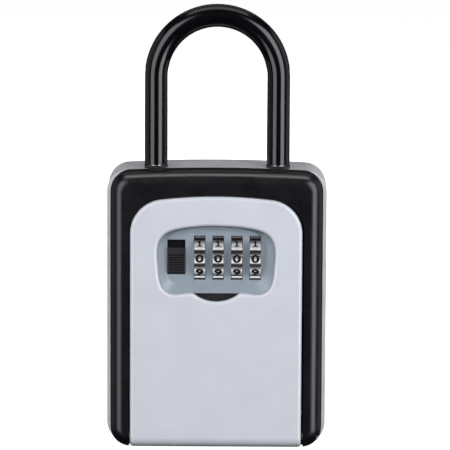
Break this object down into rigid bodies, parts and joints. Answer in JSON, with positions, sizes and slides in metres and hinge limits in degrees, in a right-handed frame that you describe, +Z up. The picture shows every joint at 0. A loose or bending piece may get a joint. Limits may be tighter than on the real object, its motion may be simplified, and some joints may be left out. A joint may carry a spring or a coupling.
{
  "type": "key lock box",
  "caption": "Key storage lock box with a grey case, black front frame, silver drop-down door, number dials, open slider and black sleeved shackle.",
  "frame": {"origin": "middle of the base, half way between the back face and the door's front face", "axes": "+X to the right seen from the front, -Y out of the door, +Z up along the shackle"},
  "size_m": [0.09, 0.04, 0.1818],
  "materials": {
    "grey_paint": "fine cast paint",
    "black_paint": "satin",
    "silver_paint": "satin",
    "plate_paint": "satin",
    "black_plastic": "matte",
    "collar_plastic": "gloss",
    "sleeve_vinyl": "gloss",
    "shackle_steel": "satin",
    "dial_metal": "polished",
    "zinc_steel": "zinc plated",
    "cam_brass": "machined",
    "screw_steel": "zinc plated"
  },
  "bodies": {
    "case": {"rear_case": "grey_paint", "front_frame": "black_paint", "frame_screws": "screw_steel", "hinge_pin": "zinc_steel", "shackle_grommets": "collar_plastic", "lock_cover": "zinc_steel", "lock_cover_screws": "screw_steel"},
    "shackle": {"shackle_bar": "shackle_steel", "shackle_sleeve": "sleeve_vinyl"},
    "shackle_lock": {"shackle_lock_plate": "zinc_steel", "release_knob": "black_plastic"},
    "door": {"door_panel": "silver_paint", "dial_plate": "plate_paint", "finger_pull": "black_plastic", "door_back_cover": "black_plastic", "cover_screws": "screw_steel"},
    "latch": {"open_slider": "black_plastic", "latch_plate": "zinc_steel", "slider_rivet": "zinc_steel"},
    "reset_slide": {"dial_spindle": "zinc_steel", "reset_lever": "zinc_steel", "spindle_clip": "screw_steel"},
    "dial_1": {"dial_1": "dial_metal"},
    "cam_1": {"cam_1": "cam_brass"},
    "dial_2": {"dial_2": "dial_metal"},
    "cam_2": {"cam_2": "cam_brass"},
    "dial_3": {"dial_3": "dial_metal"},
    "cam_3": {"cam_3": "cam_brass"},
    "dial_4": {"dial_4": "dial_metal"},
    "cam_4": {"cam_4": "cam_brass"}
  },
  "joints": [
    {"name": "door_hinge", "type": "hinge", "parent": "case", "child": "door", "pos_m": [0, -0.0156, 0.0047], "axis": [1, 0, 0], "range_deg": [0, 90]},
    {"name": "latch_slide", "type": "slide", "parent": "door", "child": "latch", "axis": [0, 0, 1], "range_m": [0, 0.0032]},
    {"name": "shackle_lift", "type": "slide", "parent": "case", "child": "shackle", "axis": [0, 0, 1], "range_m": [0, 0.02]},
    {"name": "shackle_lock_slide", "type": "slide", "parent": "case", "child": "shackle_lock", "axis": [1, 0, 0], "range_m": [0, 0.002]},
    {"name": "reset_shift", "type": "slide", "parent": "door", "child": "reset_slide", "axis": [-1, 0, 0], "range_m": [0, 0.0015]},
    {"name": "dial_1_turn", "type": "hinge", "parent": "door", "child": "dial_1", "pos_m": [-0.00686, -0.0097, 0.0791], "axis": [1, 0, 0], "continuous": true},
    {"name": "cam_1_turn", "type": "hinge", "parent": "reset_slide", "child": "cam_1", "pos_m": [-0.00686, -0.0097, 0.0791], "axis": [1, 0, 0], "continuous": true},
    {"name": "dial_2_turn", "type": "hinge", "parent": "door", "child": "dial_2", "pos_m": [0.0007, -0.0097, 0.0791], "axis": [1, 0, 0], "continuous": true},
    {"name": "cam_2_turn", "type": "hinge", "parent": "reset_slide", "child": "cam_2", "pos_m": [0.0007, -0.0097, 0.0791], "axis": [1, 0, 0], "continuous": true},
    {"name": "dial_3_turn", "type": "hinge", "parent": "door", "child": "dial_3", "pos_m": [0.0083, -0.0097, 0.0791], "axis": [1, 0, 0], "continuous": true},
    {"name": "cam_3_turn", "type": "hinge", "parent": "reset_slide", "child": "cam_3", "pos_m": [0.0083, -0.0097, 0.0791], "axis": [1, 0, 0], "continuous": true},
    {"name": "dial_4_turn", "type": "hinge", "parent": "door", "child": "dial_4", "pos_m": [0.01585, -0.0097, 0.0791], "axis": [1, 0, 0], "continuous": true},
    {"name": "cam_4_turn", "type": "hinge", "parent": "reset_slide", "child": "cam_4", "pos_m": [0.01585, -0.0097, 0.0791], "axis": [1, 0, 0], "continuous": true}
  ],
  "couplings": [
    {"joint": "cam_1_turn", "follows": "dial_1_turn", "ratio": 1},
    {"joint": "cam_2_turn", "follows": "dial_2_turn", "ratio": 1},
    {"joint": "cam_3_turn", "follows": "dial_3_turn", "ratio": 1},
    {"joint": "cam_4_turn", "follows": "dial_4_turn", "ratio": 1}
  ]
}
